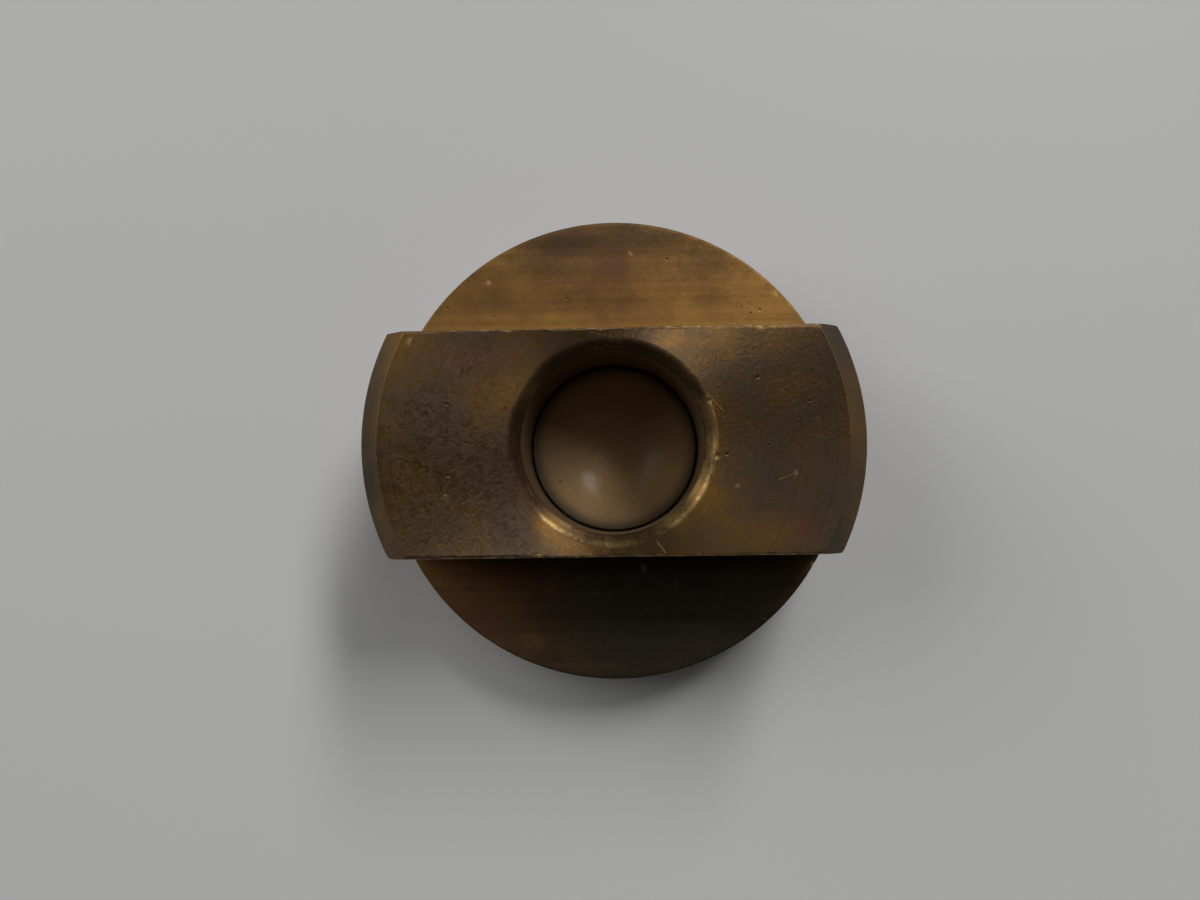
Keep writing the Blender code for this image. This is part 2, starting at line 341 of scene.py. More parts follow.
# where the body is worn, soiled and reddened, and where highlights, reflections and shade are painted on it:
# places are (x, y, height above the step as a share of the tongue's height), x, y and reaches in mm
wear = {
    "seed": 7,
    "ragged": 0.035 * mm,       # how far the milled edges wander
    "raggedDown": 0.7,          # how far down they go for each bit inwards
    "raggedAbove": 1 * mm,      # height above the step where that starts
    "fade": 0.22 * mm,          # how far in from the edge that reaches
    "waves": (0.9 * mm, 3.1 * mm),
    "reachUp": 3 * mm,          # reach of every blot along z
    "nickStretch": (0.3, 1.4),  # share by which a dent is squeezed one way
    "nickRipple": 0.12,         # how ragged a dent's border is, as a share of its radius
    "nickWave": 0.4 * mm,
    "grime": 0.3,               # painted shade in the crevice between pad and bore
    "grimeUp": 0.8 * mm,        # how far it reaches up the bore and in over the pad
    "grimeIn": 0.7 * mm,
    "rubbed": [                 # (place, reach along x, reach along y, how much patina has gone)
        # bare patches at the lamps' bow-tie lobes, (4.5, 7.4), (-3.6, -8), (12, -6.9) and (-7.4, 4.6), and
        # round the mouth's right and lower left also paint highlights there
        ((4.5, 7.4, 1), 1.6, 1.2, 0.34), ((-3.6, -8, 1), 1.0, 0.7, 0.08),
        ((12, -6.9, 1), 2.6, 1.1, 0.13), ((-7.4, 4.6, 1), 2.0, 1.0, 0.16),
        ((7.5, -0.4, 1), 0.8, 1.6, 0.3), ((6.6, -3.8, 1), 1.2, 1.6, 0.42), ((4.6, -6.1, 1), 1.3, 0.9, 0.42),
        ((0, -7.7, 1), 4.5, 0.4, 0.1),
        ((-4.9, -5.8, 1), 1.7, 1.3, 0.38), ((7.4, 2.4, 1), 0.6, 0.9, 0.3),
        # (0, 9.6, 0) paints the light that the tongue's wall throws onto the upper step beside it
        ((0, 9.6, 0), 22, 1.3, 0.4), ((12.5, 10.5, 0), 4, 2.4, 0.14), ((8, 12.6, 0), 6, 2, 0.1),
        ((-15, -9.8, 0), 3.4, 3, 0.2), ((18.4, 0, 0.9), 1.2, 8, 0.12),
    ],
    "soiled": [
        ((-11.5, -1, 1), 5, 8, 0.05), ((-18.3, 0, 0.9), 1.2, 8, 0.22), ((-8, 14.5, 0), 6.5, 1.8, 0.08),
        ((-3.8, 17.2, 0), 3.2, 0.8, 0.16), ((-7.5, 15.8, 0), 4, 1.0, 0.14), ((0, 18.4, 0), 18, 1.4, 0.12),
        ((4, 17.5, 0), 8, 2.2, 0.1), ((-3, 15.6, 0), 9, 2.2, 0.05),
        # (5, -15, 0) paints shade over the lower step, the side the tongue shades; (-6.6, -7, 1) darkens the
        # lower-left lobe
        ((5, -15, 0), 15, 10, 0.56), ((-6.6, -7, 1), 2.6, 2.4, 0.24),
        ((13, -4, 1), 5, 4, 0.14), ((9, 6.5, 1), 3, 2.5, 0.05),
    ],
    "reddened": [
        # (-12, -12, 0) paints a reddish reflection on the lower step; the other blots are red oxide
        ((-10.7, 6.4, 1), 2.6, 0.9, 0.6), ((-12, -12, 0), 5, 5, 2.2), ((-8, -1.5, 1), 5, 7, 0.25),
        ((13.6, -6.4, 1), 1.3, 1.5, 0.9), ((-4, 15.5, 0), 10, 2.6, 0.6), ((4, 12, 0), 12, 2, 0.2),
    ],
    "mottled": [((-12, 0, 1), 7, 10, 1.0), ((-4, -9, 1), 4, 3, 0.6), ((6, 6, 1), 3, 2, 0.5)],
    "nicks": [                  # (place, radius, depth) in mm
        ((11.3, 8.5, 1), 0.42, 0.1), ((13.5, -2.5, 1), 0.34, 0.035), ((15.2, 1.5, 1), 0.26, 0.03),
        ((1.5, 16.4, 0), 0.34, 0.04), ((-15.1, 7.9, 1), 0.5, 0.09), ((3.4, -8.5, 1), 0.42, 0.07),
        ((-5.6, -8.5, 1), 0.5, 0.07), ((-10.4, 14.2, 0), 0.3, 0.035),
        ((2.3, -9.9, 0), 0.5, 0.06), ((7.7, -1.2, 1), 0.3, 0.05), ((7.2, 2.9, 1), 0.26, 0.03),
        ((-7.5, 8.5, 1), 0.45, 0.06), ((-0.6, 8.5, 1), 0.38, 0.05), ((6.3, -8.5, 1), 0.36, 0.05),
        ((12.6, 3.6, 1), 0.22, 0.02), ((-12.5, -3.8, 1), 0.22, 0.02), ((9.2, -3.4, 1), 0.3, 0.025),
        ((16.2, -9.8, 0), 0.4, 0.05), ((-17.6, -6.4, 0.5), 0.5, 0.05), ((13.6, 12.8, 0), 0.4, 0.05),
    ],
}


def wearPlace(place):
    x, y, up = place
    return np.array((x * mm, y * mm, cap["step"] + up * (cap["top"] - cap["step"])))


# Sum of soft blots: amount * exp(-(dx / reach x)^2 - (dy / reach y)^2 - (dz / reach up)^2).
def wearField(points, blots):
    field = np.zeros(len(points))
    for place, reachX, reachY, amount in blots:
        away = (points - wearPlace(place)) / (reachX * mm, reachY * mm, wear["reachUp"])
        field += amount * np.exp(-(away**2).sum(axis=1))
    return field


# Smooth noise round zero, about 0.7 rms: a sum of sines of random direction and phase, each with between 0.6
# and 1.6 ripples per length, over the square root of their number.
def ripple(points, length, draw, waves=14):
    ways = unit(draw.normal(size=(waves, 3))) * turn / length * draw.uniform(0.6, 1.6, (waves, 1))
    return np.sin(points @ ways.T + draw.uniform(0, turn, waves)).sum(axis=1) / math.sqrt(waves)


# Dents: each is pressed in by depth * (1 - (distance / radius)^2)^2 against the surface, with its distances
# stretched one way and rippled, and its kernel says where bare metal shows.
def pressNicks(points, normals, draw):
    bare = np.zeros(len(points))
    for place, radius, depth in wear["nicks"]:
        away = points - wearPlace(place)
        way = unit(draw.normal(size=3))
        away = away + (away @ way)[:, None] * way * draw.uniform(*wear["nickStretch"])
        border = wear["nickRipple"] * ripple(points, wear["nickWave"], draw)
        share = np.linalg.norm(away, axis=1) / (radius * mm) + border
        kernel = np.clip(1 - np.clip(share, 0, None) ** 2, 0, None) ** 2
        points = points - normals * (kernel * depth * mm)[:, None]
        bare = np.maximum(bare, kernel)
    return points, bare


# The milled edges wander inwards and down by ragged * exp(-(distance / fade)^2) * (a sum of ripples, never
# below 0), so that the wander fades out a little way from the edge.
def roughenEdges(points, distance, draw):
    fade = np.exp(-((distance / wear["fade"]) ** 2))
    milled = np.abs(np.abs(points[:, 1]) - cap["halfWidth"]) < wear["fade"]
    wander = sum((1 + ripple(points, length, draw)) / 2 for length in wear["waves"])
    above = points[:, 2] > cap["step"] + wear["raggedAbove"]
    inward = fade * milled * above * np.clip(wander, 0, None) * wear["ragged"]
    moved = points.copy()
    moved[:, 1] -= np.sign(points[:, 1]) * inward
    moved[:, 2] -= wear["raggedDown"] * inward
    return moved


def vertexNormals(piece):
    normals = np.empty(len(piece.data.vertices) * 3, np.float32)
    piece.data.vertices.foreach_get("normal", normals)
    return normals.reshape(-1, 3).astype(float)


def wearBody(piece):
    draw = np.random.default_rng(wear["seed"])
    points = meshPoints(piece)
    distance = edgeDistance(points)
    worn, bare = pressNicks(roughenEdges(points, distance, draw), vertexNormals(piece), draw)
    setPoints(piece, worn)
    addField(piece, "edgeDistance", distance)
    addField(piece, "bareMetal", bare)
    for name in ("rubbed", "soiled", "reddened", "mottled"):
        field = wearField(points, wear[name])
        if name == "soiled":
            # painted shade on the bore wall, in the crevice beside the pad's top
            inside = np.hypot(points[:, 0], points[:, 1]) < (cap["bore"] + cap["mouth"]) / 2
            field += inside * wear["grime"] * np.exp(-(((points[:, 2] - padHigh.z) / wear["grimeUp"]) ** 2))
        addField(piece, name, field)


# Turned parts are (radius, height) profiles carried round Z, the top face is the straight blend from the
# tongue's rim to the mouth's circle, and the grids share the points where they meet.
def makeCapBody(materials):
    side = tongueSide()
    rim = side[0]
    angles = np.arctan2(rim[:, 1], rim[:, 0])
    edge, groove, middle = cap["edge"], cap["grooveRadius"], cap["groove"]
    grooveRound = groove * cap["grooveRound"]
    bore = roundedProfile([
        (cap["mouth"] + cap["mouthRound"] / 2, cap["top"], 0),
        (cap["mouth"], cap["top"], cap["mouthRound"]),
        (cap["bore"], cap["top"] - cap["countersink"], cap["mouthRound"] / 2),
        (cap["bore"], middle + groove, 0),
        (cap["bore"] + groove, middle + groove, grooveRound),
        (cap["bore"] + groove, middle - groove, grooveRound),
        (cap["bore"], middle - groove, 0),
        (cap["bore"], cap["pocket"], cap["pocketRound"]),
        (0, cap["pocket"], 0),
    ], cap["roundSteps"])
    mouthRing = bore[0][0] * np.stack([np.cos(angles), np.sin(angles)], axis=-1)
    blend = spread(0, 1, cap["acrossTop"])[:, None, None]
    topFlat = (1 - blend) * rim[None, :, :2] + blend * mouthRing[None]
    topFace = np.concatenate([topFlat, np.full(topFlat.shape[:2] + (1,), cap["top"])], axis=-1)
    coneEnd = 2 * cap["roundSteps"] + 3  # the first point and the two rounded corners
    low = roundedProfile([
        (cap["radius"], cap["step"] - edge, 0),
        (cap["radius"], cap["footChamfer"], edge),
        (cap["radius"] - cap["footChamfer"], 0, edge),
        (cap["socket"] + cap["socketChamfer"], 0, edge),
        (cap["socket"], cap["socketChamfer"], edge),
        (cap["socket"], cap["lip"], edge / 2),
        (cap["gasket"] + cap["seatGap"], cap["lip"], cap["lipRound"]),
        (cap["gasket"] + cap["seatGap"], cap["roof"], cap["roofRound"]),
        (0, cap["roof"], 0),
    ])
    around = lowerAngles()
    floor, rimEdge = stepFloor(), stepRim()
    farSide = np.array((-1, -1, 1))
    grids = [
        (topFace, True, 0),
        (revolve(filledProfile(bore[:coneEnd], cap["lipStretch"]), angles), True, 1),
        (revolve(filledProfile(bore[coneEnd - 1:], cap["boreStretch"]), angles), True, 2),
        (side, True, 3),
        (floor, False, 4), (floor * farSide, False, 4),
        (rimEdge, False, 4), (rimEdge * farSide, False, 4),
        (revolve(filledProfile(low, cap["lowStretch"]), around), True, 5),
    ]
    piece = pieceFromGrids("bronzeBody", grids, materials)
    wearBody(piece)
    return piece


pad = {
    "centre": 1.3 * mm,         # thickness in the middle
    "rim": 0.2 * mm,
    "chamfer": 0.3 * mm,
    "dishRadius": 10.5 * mm,
    "footRound": 0.1 * mm,
    "rimRound": 0.07 * mm,
    "dishRound": 0.04 * mm,
    "dishIn": 0.1 * mm,         # where the dish takes over, in from the rim and down from it
    "dishDown": 0.085 * mm,
    "grime": 1.5,               # times the painted crevice shade in the bore
    "around": 160,
    "dishSteps": 48,
    "stretch": 0.6 * mm,        # longest stretch of the profile
}


# Turned: flat base, wall with its ring groove, narrow rim, and a part sphere for the dish, which has a radius
# of R sin a and a height of its centre's less R cos a.
def makePad(material):
    outer, bottom = padHigh.x, padLow.z
    dishEdge = outer - pad["rim"]
    centre = bottom + pad["centre"] + pad["dishRadius"]
    rimLevel = centre - math.sqrt(pad["dishRadius"] ** 2 - dishEdge**2)
    groove, middle = cap["grooveRadius"], cap["groove"]
    depth = groove - cap["padClearance"]
    grooveRound = depth * cap["grooveRound"]
    dishStart = dishEdge - pad["dishIn"]
    wall = roundedProfile([
        (0, bottom, 0),
        (outer - pad["chamfer"], bottom, pad["footRound"]),
        (outer, bottom + pad["chamfer"], pad["footRound"]),
        (outer, middle - groove, 0),
        (outer - depth, middle - groove, grooveRound),
        (outer - depth, middle + groove, grooveRound),
        (outer, middle + groove, 0),
        (outer, rimLevel, pad["rimRound"]),
        (dishEdge, rimLevel, pad["dishRound"]),
        (dishStart, rimLevel - pad["dishDown"], 0),
    ])
    angle = spread(math.asin(dishStart / pad["dishRadius"]), 0, pad["dishSteps"])
    dish = np.stack([pad["dishRadius"] * np.sin(angle), centre - pad["dishRadius"] * np.cos(angle)], axis=1)
    around = np.arange(pad["around"]) * turn / pad["around"]
    profile = np.concatenate([filledProfile(wall[:-1], pad["stretch"]), dish])
    piece = pieceFromGrids("dishedPad", [(revolve(profile, around), True, 0)], [material])
    points = meshPoints(piece)
    radius = np.hypot(points[:, 0], points[:, 1])
    edges = [np.hypot(radius - outer, points[:, 2] - level) for level in (rimLevel, bottom)]
    addField(piece, "edgeDistance", np.min(edges, axis=0))
    # painted shade on the pad's rim, in the crevice against the bore
    soil = pad["grime"] * wear["grime"] * np.exp(-(((radius - outer) / wear["grimeIn"]) ** 2))
    addField(piece, "soiled", soil)
    return piece


ring = {"wireRadius": 0.4 * mm, "around": 150, "section": 14, "opening": math.radians(18)}


# Round wire carried along an open circle: each section is a circle of the wire's radius, and one of radius 0
# closes each end.
def makeWireRing(material):
    radius, wire = cap["bore"], ring["wireRadius"]
    angle = spread(ring["opening"] / 2, turn - ring["opening"] / 2, ring["around"])
    slope = np.arange(ring["section"]) * turn / ring["section"]
    across = np.concatenate([[0], np.full(len(angle), wire), [0]])[:, None]
    angle = np.concatenate([angle[:1], angle, angle[-1:]])[:, None]
    distance = radius + across * np.cos(slope)
    points = np.stack([distance * np.cos(angle), distance * np.sin(angle),
                       cap["groove"] + across * np.sin(slope)], axis=-1)
    return pieceFromGrids("wireRing", [(points, True, 0)], [material])


gasket = {
    "bore": 10.3 * mm,
    "chamfer": 0.3 * mm,
    "round": 0.12 * mm,
    "seamIn": 2 * mm,           # where the profile starts and ends, out from the bore
    "around": 128,
    "stretch": 0.4 * mm,        # longest stretch of the profile
}


# Turned: a rectangle of (radius, height) with chamfered, rounded corners, carried round Z.
def makeGasket(material):
    low, high, outer = gasketLow.z, gasketHigh.z, gasketHigh.x
    inner, chamfer, corner = gasket["bore"], gasket["chamfer"], gasket["round"]
    seam = (inner + gasket["seamIn"], low, 0)
    profile = roundedProfile([
        seam,
        (outer - chamfer, low, corner),
        (outer, low + chamfer, corner),
        (outer, high - chamfer, corner),
        (outer - chamfer, high, corner),
        (inner + chamfer, high, corner),
        (inner, high - chamfer, corner),
        (inner, low + chamfer, corner),
        (inner + chamfer, low, corner),
        seam,
    ])
    around = np.arange(gasket["around"]) * turn / gasket["around"]
    grid = revolve(filledProfile(profile, gasket["stretch"]), around)
    return pieceFromGrids("rubberGasket", [(grid, True, 0)], [material])


# Adds one node, with its settings, and feeds each input with a value or with another node's output.
def addNode(tree, kind, inputs, **settings):
    made = tree.nodes.new("ShaderNode" + kind)
    for name, value in settings.items():
        setattr(made, name, value)
    for name, value in inputs.items():
        feed(tree, made.inputs[name], value)
    return made


def feed(tree, socket, value):
    if isinstance(value, bpy.types.NodeSocket):
        tree.links.new(value, socket)
    else:
        socket.default_value = value


def calc(tree, operation, *values, clamp=False):
    made = addNode(tree, "Math", dict(enumerate(values)), operation=operation, use_clamp=clamp)
    return made.outputs[0]


# A number carried smoothly from one range to another.
def remap(tree, value, low, high, start=0.0, end=1.0, smooth="SMOOTHSTEP"):
    places = {"Value": value, "From Min": low, "From Max": high, "To Min": start, "To Max": end}
    return addNode(tree, "MapRange", places, interpolation_type=smooth).outputs[0]


def mixColors(tree, share, first, second, blend="MIX"):
    made = addNode(tree, "Mix", {0: share, 6: first, 7: second}, data_type="RGBA", blend_type=blend)
    return made.outputs[2]


def mixNumbers(tree, share, first, second):
    return addNode(tree, "Mix", {0: share, 2: first, 3: second}, data_type="FLOAT").outputs[0]


def scaled(tree, vector, factors):
    made = addNode(tree, "VectorMath", {0: vector, 1: factors}, operation="MULTIPLY")
    return made.outputs[0]


def noise(tree, vector, scale, detail=3.0, roughness=0.55, distortion=0.0):
    places = {"Vector": vector, "Scale": scale, "Detail": detail, "Roughness": roughness,
              "Distortion": distortion}
    return addNode(tree, "TexNoise", places).outputs[0]


def readField(tree, name):
    return addNode(tree, "Attribute", {}, attribute_name=name).outputs["Fac"]


# An empty node group with its named sockets: a socket's value decides whether it is a number or a vector.
def newGroup(name, inputs, outputs):
    tree = bpy.data.node_groups.new(name, "ShaderNodeTree")
    for label, value in inputs.items():
        kind = "NodeSocketVector" if isinstance(value, tuple) else "NodeSocketFloat"
        tree.interface.new_socket(label, in_out="INPUT", socket_type=kind).default_value = value
    for label in outputs:
        tree.interface.new_socket(label, in_out="OUTPUT", socket_type="NodeSocketFloat")
    given = tree.nodes.new("NodeGroupInput").outputs
    result = tree.nodes.new("NodeGroupOutput").inputs
    return tree, given, result


def useGroup(tree, group, inputs):
    made = tree.nodes.new("ShaderNodeGroup")
    made.node_tree = group
    for name, value in inputs.items():
        feed(tree, made.inputs[name], value)
    return made.outputs


# Rings round Z: noise along the distance from the axis plus a share of the height, wandering a little and
# broken up here and there.
def makeTurningMarks():
    heightShare, wanderReach = 0.83, 0.12 * mm
    tree, given, result = newGroup(
        "turningMarks", {"Vector": (0.0, 0.0, 0.0), "Pitch": 0.0002, "Breakup": 0.5}, ["Height"]
    )
    flat = scaled(tree, given["Vector"], (1, 1, 0))
    away = addNode(tree, "VectorMath", {0: flat}, operation="LENGTH").outputs["Value"]
    height = addNode(tree, "SeparateXYZ", {0: given["Vector"]}).outputs["Z"]
    wander = noise(tree, given["Vector"], 260, 2)
    along = calc(tree, "ADD", calc(tree, "ADD", away, calc(tree, "MULTIPLY", height, heightShare)),
                 calc(tree, "MULTIPLY", wander, wanderReach))
    along = calc(tree, "DIVIDE", along, given["Pitch"])
    rings = addNode(tree, "TexNoise", {"W": along, "Scale": 1.0, "Detail": 3.0}, noise_dimensions="1D")
    patches = remap(tree, noise(tree, given["Vector"], 700, 2), 0.35, 0.65)
    strength = mixNumbers(tree, given["Breakup"], 1.0, patches)
    swing = calc(tree, "SUBTRACT", rings.outputs[0], 0.5)
    feed(tree, result["Height"], calc(tree, "MULTIPLY_ADD", swing, strength, 0.5))
    return tree


# Long straight streaks: noise squeezed across the cut by the stretch.
def makeMillingMarks():
    tree, given, result = newGroup(
        "millingMarks", {"Vector": (0.0, 0.0, 0.0), "Stretch": (1.0, 1.0, 1.0), "Scale": 900.0,
                         "Breakup": 0.5}, ["Height"]
    )
    along = scaled(tree, given["Vector"], given["Stretch"])
    streaks = noise(tree, along, given["Scale"], 4, 0.6)
    patches = remap(tree, noise(tree, given["Vector"], 500, 2), 0.35, 0.65)
    strength = mixNumbers(tree, given["Breakup"], 1.0, patches)
    swing = calc(tree, "SUBTRACT", streaks, 0.5)
    feed(tree, result["Height"], calc(tree, "MULTIPLY_ADD", swing, strength, 0.5))
    return tree


# Oxide cover: blotches, worm-like mottling and fine grain added up, then cut off softly at the cover. The
# mottling and the grain are so many times finer than the blotches.
def makePatina():
    wormFineness, grainFineness, grainShare = 7.5, 24, 0.35
    tree, given, result = newGroup(
        "patina", {"Vector": (0.0, 0.0, 0.0), "Scale": 260.0, "Cover": 0.5, "Softness": 0.2,
                   "Mottle": 0.5}, ["Mask", "Tone", "Grain"]
    )
    blotch = noise(tree, given["Vector"], given["Scale"], 3)
    worms = noise(tree, given["Vector"], calc(tree, "MULTIPLY", given["Scale"], wormFineness), 2, 0.5, 1.2)
    grain = noise(tree, given["Vector"], calc(tree, "MULTIPLY", given["Scale"], grainFineness), 3, 0.6)
    wormShare = calc(tree, "MULTIPLY", calc(tree, "SUBTRACT", worms, 0.5), given["Mottle"])
    total = calc(tree, "ADD", blotch, wormShare)
    total = calc(tree, "MULTIPLY_ADD", calc(tree, "SUBTRACT", grain, 0.5), grainShare, total)
    cut = calc(tree, "SUBTRACT", 1.0, given["Cover"])
    low = calc(tree, "SUBTRACT", cut, given["Softness"])
    high = calc(tree, "ADD", cut, given["Softness"])
    feed(tree, result["Mask"], remap(tree, total, low, high))
    feed(tree, result["Tone"], remap(tree, total, 0.2, 0.8))
    feed(tree, result["Grain"], mixNumbers(tree, 0.6, grain, worms))
    return tree


# Worn edges: full as far as about a third of the reach and gone at the reach, which is the width times a
# noise that makes the border ragged.
def makeEdgeWear():
    tree, given, result = newGroup(
        "edgeWear", {"Vector": (0.0, 0.0, 0.0), "Distance": 1.0, "Width": 0.00015, "Ragged": 0.7}, ["Mask"]
    )
    patches = noise(tree, given["Vector"], 1400, 3)
    reach = mixNumbers(tree, given["Ragged"], 1.0, remap(tree, patches, 0.4, 0.68, 0.15, 1.5))
    reach = calc(tree, "MULTIPLY", reach, given["Width"])
    feed(tree, result["Mask"], remap(tree, calc(tree, "DIVIDE", given["Distance"], reach), 1.0, 0.35))
    return tree


# Small pits: the middles of random cells, of random size, with only a share of the cells used.
def makePits():
    tree, given, result = newGroup(
        "pits", {"Vector": (0.0, 0.0, 0.0), "Scale": 1500.0, "Size": 0.25, "Share": 0.2}, ["Mask"]
    )
    cells = addNode(tree, "TexVoronoi", {"Vector": given["Vector"], "Scale": given["Scale"]})
    parts = addNode(tree, "SeparateColor", {0: cells.outputs["Color"]}).outputs
    used = calc(tree, "LESS_THAN", parts[0], given["Share"])
    size = calc(tree, "MULTIPLY", given["Size"], remap(tree, parts[1], 0.0, 1.0, 0.4, 1.0))
    spot = remap(tree, calc(tree, "DIVIDE", cells.outputs["Distance"], size), 1.0, 0.4)
    feed(tree, result["Mask"], calc(tree, "MULTIPLY", spot, used))
    return tree


# Fine scratches three ways: thin bands where stretched noise crosses its middle value, kept in patches.
def makeScratches():
    tree, given, result = newGroup(
        "scratches", {"Vector": (0.0, 0.0, 0.0), "Scale": 260.0, "Amount": 0.4}, ["Mask"]
    )
    total = None
    for tilt in (0.5, 1.7, 2.6):
        placed = addNode(tree, "Mapping", {"Vector": given["Vector"], "Rotation": (0, 0, tilt),
                                           "Location": (tilt, 0, 0)}).outputs[0]
        field = noise(tree, scaled(tree, placed, (0.12, 1, 1)), given["Scale"], 1, 0.4, 0.15)
        line = remap(tree, calc(tree, "ABSOLUTE", calc(tree, "SUBTRACT", field, 0.5)), 0.004, 0.0)
        gate = remap(tree, noise(tree, placed, 420, 1), calc(tree, "SUBTRACT", 0.95, given["Amount"]), 1.0)
        line = calc(tree, "MULTIPLY", line, gate)
        total = line if total is None else calc(tree, "MAXIMUM", total, line)
    feed(tree, result["Mask"], calc(tree, "MULTIPLY", total, 2.0, clamp=True))
    return tree


# One straight score: the distance from a stretch between two points, thinning out towards both ends.
def makeScoreMark():
    tree, given, result = newGroup(
        "scoreMark", {"Vector": (0.0, 0.0, 0.0), "Start": (0.0, 0.0, 0.0), "End": (0.001, 0.0, 0.0),
                      "Width": 0.00005}, ["Mask"]
    )
    way = addNode(tree, "VectorMath", {0: given["End"], 1: given["Start"]}, operation="SUBTRACT").outputs[0]
    here = addNode(tree, "VectorMath", {0: given["Vector"], 1: given["Start"]}, operation="SUBTRACT")
    here = here.outputs[0]
    reach = addNode(tree, "VectorMath", {0: here, 1: way}, operation="DOT_PRODUCT").outputs["Value"]
    long = addNode(tree, "VectorMath", {0: way, 1: way}, operation="DOT_PRODUCT").outputs["Value"]
    share = calc(tree, "DIVIDE", reach, long, clamp=True)
    near = addNode(tree, "VectorMath", {0: way, "Scale": share}, operation="SCALE").outputs[0]
    away = addNode(tree, "VectorMath", {0: here, 1: near}, operation="DISTANCE").outputs["Value"]
    thin = calc(tree, "SUBTRACT", 1.0, calc(tree, "ABSOLUTE", calc(tree, "MULTIPLY_ADD", share, 2.0, -1.0)))
    width = calc(tree, "MULTIPLY", given["Width"], remap(tree, thin, 0.0, 0.5, 0.3, 1.0))
    feed(tree, result["Mask"], remap(tree, calc(tree, "DIVIDE", away, width), 1.0, 0.3))
    return tree


groups = {
    "turning": makeTurningMarks(), "milling": makeMillingMarks(), "patina": makePatina(),
    "edgeWear": makeEdgeWear(), "pits": makePits(), "scratches": makeScratches(), "score": makeScoreMark(),
}
print("node groups made:", len(groups))

# one look for each bronze surface; what a look doesn't say comes from "shared". Depths, widths and pitches
# are in metres.
shared = {
    "metal": (0.3, 0.148, 0.03), "oxide": (0.118, 0.08, 0.05), "red": (0.2, 0.08, 0.045),
    "soil": (0.05, 0.04, 0.026), "edge": (0.45, 0.3, 0.14), "metallic": 0.85,
    "cover": 0.6, "softness": 0.45, "mottle": 0.5, "patinaScale": 210.0, "gloss": 0.2,
    "metalRough": 0.45, "oxideRough": 0.52, "anisotropic": 0.0, "round": False, "coat": 0.0,
    "turning": None, "milling": None, "markDepth": 0.000004, "mottleDepth": 0.000008, "streak": 0.14,
    "edgeWidth": 0.0001, "pitScale": 1300.0, "pitShare": 0.1, "pitDepth": 0.00003,
    "scratch": 0.35, "scores": [], "coatRough": 0.16, "swing": 0.6, "mottledSwing": 2.4, "roughSwing": 0.25,
    "scratchShown": 0.55, "scratchDepth": 0.8, "pitShown": 0.75, "soilShown": 2.0,
}
looks = {
    "facedTop": {"anisotropic": 0.95, "round": True, "turning": 0.00024, "mottle": 0.8, "cover": 0.68,
                 "streak": 0.1, "swing": 1.2,
                 "scores": [((6.5, 4.2), (8.3, 2.1)), ((3.1, -7.3), (3.9, -8.4)), ((4.6, 4.9), (5.3, 4.3)),
                            ((12.2, -3.0), (13.5, -2.5)), ((-1.6, 8.2), (-0.3, 8.0))]},
    # the countersink's dark oxide is partly its own oxide, partly painted shade inside the bore's mouth
    "countersink": {"anisotropic": 0.7, "round": True, "turning": 0.00012, "cover": 0.83, "streak": 0.3,
                    "metal": (0.55, 0.34, 0.12), "metalRough": 0.31, "oxide": (0.06, 0.036, 0.018),
                    "metallic": 0.95, "markDepth": 0.00001, "softness": 0.4},
    "boreWall": {"anisotropic": 0.5, "round": True, "turning": 0.00018, "cover": 0.7, "streak": 0.08,
                 "oxide": (0.19, 0.12, 0.063), "metal": (0.26, 0.165, 0.072), "metalRough": 0.5,
                 "metallic": 0.6},
    "milledSide": {"turning": 0.0003, "cover": 0.6, "metalRough": 0.42, "oxide": (0.1, 0.078, 0.055)},
    "milledStep": {"milling": (0.018, 1.0, 1.0), "cover": 0.54, "metalRough": 0.5, "streak": 0.32,
                   "metal": (0.32, 0.168, 0.045), "oxide": (0.1, 0.057, 0.026), "metallic": 0.95},
    "turnedSide": {"turning": 0.00028, "cover": 0.55},
    "burnishedPad": {"turning": 0.0004, "cover": 0.7, "mottle": 0.45, "softness": 0.7, "metalRough": 0.6,
                     "oxideRough": 0.66, "markDepth": 0.0000006, "mottleDepth": 0.000004, "streak": 0.06,
                     "metal": (0.34, 0.21, 0.085), "oxide": (0.26, 0.17, 0.09), "metallic": 0.65,
                     "gloss": 0.1, "pitShare": 0.03, "scratch": 0.25, "edgeWidth": 0.00001, "coat": 0.11},
}


def newMaterial(name):
    material = bpy.data.materials.new(name)
    material.use_nodes = True
    tree = material.node_tree
    place = tree.nodes.new("ShaderNodeTexCoord").outputs["Object"]
    return material, tree, tree.nodes["Principled BSDF"], place
